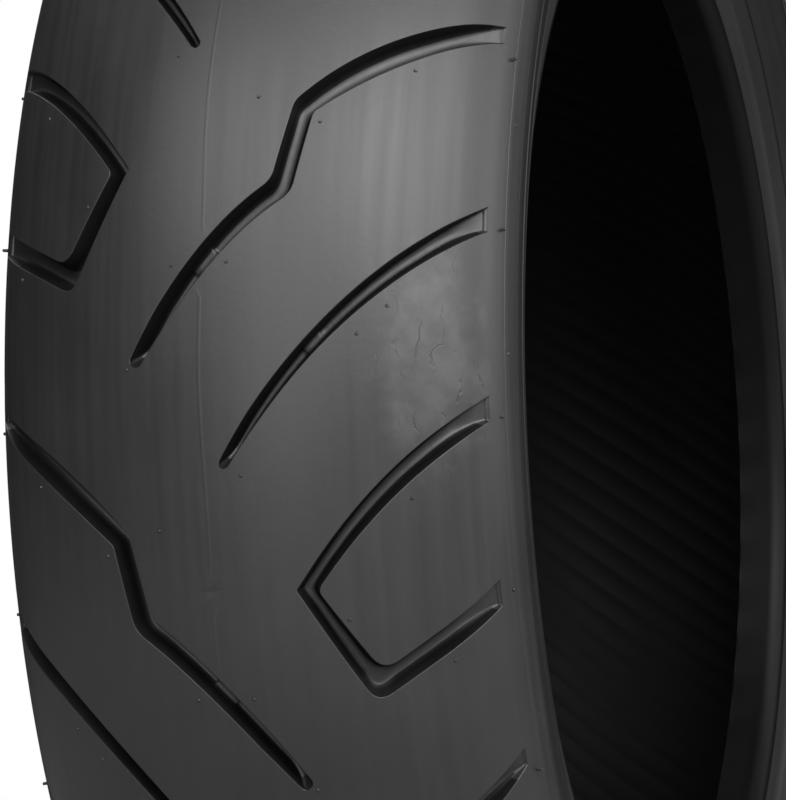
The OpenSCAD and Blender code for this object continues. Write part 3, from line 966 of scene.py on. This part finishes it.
# The liner is dark rubber, made near black beyond that as painted shade inside the tire.
LINER_SHADE = rubber("liner_painted_shade", 0.002, 0.004, 0.5, 0.62, 0.3, 0.3, specular=0.05)
# The bead seat, facing the axle, is dark rubber made near black beyond that as painted shade.
SEAT_SHADE = rubber("bead_seat_painted_shade", 0.0015, 0.003, 0.42, 0.5, 0.3, 0.3, specular=0.1)
FINISH = {
    TREAD: [tread, vents, *wings, *sidewalls],
    CUSHION: cushions,
    LINER_SHADE: [liner],
}
for finish, objects in FINISH.items():
    for obj in objects:
        obj.data.materials.append(finish)
# Painted shade: the steep groove walls get the darker finish.
tread.data.materials.append(GROOVE_SHADE)
tread.data.polygons.foreach_set("material_index", groove_shade_faces(tread.data))
# Below the heel the cushions take the near-black bead seat, painted shade where they face the axle; the
# sidewalls take the sidewall rubber below their edge.
for objects, inner_finish, inner_r in [(cushions, SEAT_SHADE, heel_c[1]), (sidewalls, SIDE, EDGE_R)]:
    for obj in objects:
        obj.data.materials.append(inner_finish)
        for face in obj.data.polygons:
            face.material_index = int(math.hypot(face.center.x, face.center.z) < inner_r * MM)

HIDDEN = {
    "tread_base": rubber("base_rubber_skin", 0.012, 0.02, 0.5, 0.65, 0.3, 0.4),
    "belt_outer": cord("aramid_belt_a", grey(0.02), (0.24, 0.17, 0.06), 0.0016, math.radians(20)),
    "belt_inner": cord("aramid_belt_b", grey(0.02), (0.24, 0.17, 0.06), 0.0016, math.radians(-20)),
    "ply_outer": cord("ply_cord_a", grey(0.025), (0.3, 0.25, 0.16), 0.0012, math.radians(85)),
    "ply_inner": cord("ply_cord_b", grey(0.025), (0.3, 0.25, 0.16), 0.0012, math.radians(-85)),
}
for side, _ in SIDES:
    HIDDEN[f"belt_edge_strip_{side}"] = rubber(f"edge_gum_{side}", 0.015, 0.025, 0.5, 0.65, 0.3, 0.4)
    HIDDEN[f"apex_{side}"] = rubber(f"apex_filler_{side}", 0.02, 0.032, 0.45, 0.6, 0.3, 0.4)
    HIDDEN[f"bead_wires_{side}"] = steel(f"bronzed_wire_{side}")
    HIDDEN[f"bead_wrap_{side}"] = rubber(f"bead_gum_{side}", 0.015, 0.024, 0.45, 0.6, 0.3, 0.4)
    HIDDEN[f"chafer_{side}"] = woven(f"chafer_weave_{side}", grey(0.02), (0.13, 0.12, 0.09), 0.0011)
for name, finish in HIDDEN.items():
    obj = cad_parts[name]
    for slot in obj.material_slots:
        slot.material = finish


# ---------------------------------------------------------------- camera
YAW, RISE = 0.3081, 0.1485
CAMERA_RIGHT, CAMERA_UP, CAMERA_BACK = -0.03427, 0.01517, 1.68829
SENSOR, LENS = 36, 192.54


def place_camera():
    cam = bpy.data.objects.new("camera", bpy.data.cameras.new("camera"))
    cam.data.sensor_width, cam.data.lens = SENSOR, LENS
    right = np.array([-math.sin(YAW), math.cos(YAW), 0])
    look = np.array([-math.cos(YAW) * math.cos(RISE), -math.sin(YAW) * math.cos(RISE), math.sin(RISE)])
    up = np.cross(right, look)
    place = CAMERA_RIGHT * right + CAMERA_UP * up - CAMERA_BACK * look
    cam.matrix_world = Matrix([[*c] for c in np.column_stack([right, up, -look, place])] + [[0, 0, 0, 1]])
    bpy.context.scene.collection.objects.link(cam)
    bpy.context.scene.camera = cam
    cam.data.dof.use_dof = False


place_camera()


# ---------------------------------------------------------------- floor and light
FLOOR_SIZE = 6.0
FLOOR_GLOW = 0.1
LIGHT_AWAY = 2.2
AMBIENT = 0.02
# Softboxes: azimuth and elevation in degrees, width and height in metres, and power in watts
SOFTBOXES = [
    ("front", 6, 30, 1.0, 3.0, 54),
    ("low", 6, 1, 1.0, 0.6, 11),
    ("side", 56, 25, 1.4, 2.1, 62),
    ("opening", 106, 17, 1.0, 1.0, 14),
    ("back", 200, 60, 2.4, 1.6, 35),
    ("left", 250, 60, 1.2, 1.2, 8),
]


def make_floor():
    half = FLOOR_SIZE / 2 / MM
    corners = [(x, y, -CROWN_TOP) for x, y in ((-half, -half), (half, -half), (half, half), (-half, half))]
    floor = new_object("floor", corners, [[0, 1, 2, 3]])
    made, tree = material("studio_floor")
    speck = noise(tree, object_place(tree), 40)
    shade(
        tree,
        (grey(0.26), grey(0.3), speck),
        between(tree, speck, 0.3, 0.7, 0.6, 0.7),
        [(speck, 0.0005, 0.1)],
    )
    shader = tree.nodes["Principled BSDF"]
    shader.inputs["Emission Color"].default_value = (1, 1, 1, 1)
    shader.inputs["Emission Strength"].default_value = FLOOR_GLOW
    floor.data.materials.append(made)


def area_light(name, azimuth, elevation, distance, width, height, power):
    lamp = bpy.data.lights.new(name, "AREA")
    lamp.shape, lamp.size, lamp.size_y, lamp.energy = "RECTANGLE", width, height, power
    obj = bpy.data.objects.new(name, lamp)
    turn = Matrix.Rotation(azimuth, 4, "Z") @ Matrix.Rotation(math.pi / 2 - elevation, 4, "Y")
    obj.matrix_world = turn @ Matrix.Translation((0, 0, distance))
    bpy.context.scene.collection.objects.link(obj)


def make_world(seen, ambient):
    """A white background for the camera, and a dim even light for everything else."""
    world = bpy.data.worlds.new("studio")
    bpy.context.scene.world = world
    world.use_nodes = True
    tree = world.node_tree
    path = node(tree, "LightPath")
    strength = between(tree, path.outputs["Is Camera Ray"], 0, 1, ambient, seen)
    background = tree.nodes["Background"]
    background.inputs["Color"].default_value = (1, 1, 1, 1)
    tree.links.new(strength, background.inputs["Strength"])


make_floor()
for name, azimuth, elevation, width, height, power in SOFTBOXES:
    area_light(name, math.radians(azimuth), math.radians(elevation), LIGHT_AWAY, width, height, power)
make_world(1.0, AMBIENT)
bpy.context.scene.view_settings.view_transform = "Standard"
